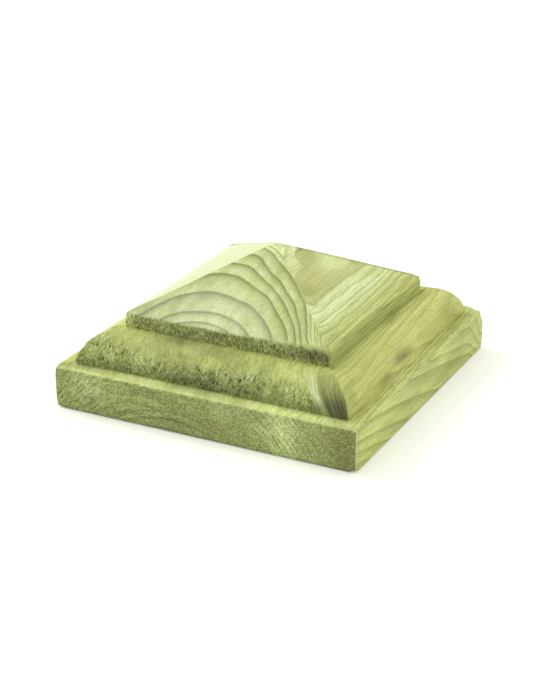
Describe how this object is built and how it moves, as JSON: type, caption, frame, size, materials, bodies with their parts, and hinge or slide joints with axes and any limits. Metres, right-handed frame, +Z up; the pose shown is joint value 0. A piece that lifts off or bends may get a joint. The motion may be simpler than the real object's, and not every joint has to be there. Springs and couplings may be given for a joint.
{
  "type": "wooden post cap",
  "caption": "Square softwood cap for the top of a timber post: low pyramid on an upright step, an ovolo moulding and a square base with a narrow ledge.",
  "frame": {"origin": "centre of the flat underside", "axes": "+Z up through the pyramid's apex, Y along the grain, so end grain faces -Y and +Y"},
  "size_m": [0.1, 0.1, 0.0445],
  "materials": {
    "treated_pine": "bare machined softwood, green from pressure treatment, torn on its end grain"
  },
  "bodies": {
    "root": {"post_cap": "treated_pine"}
  },
  "joints": []
}
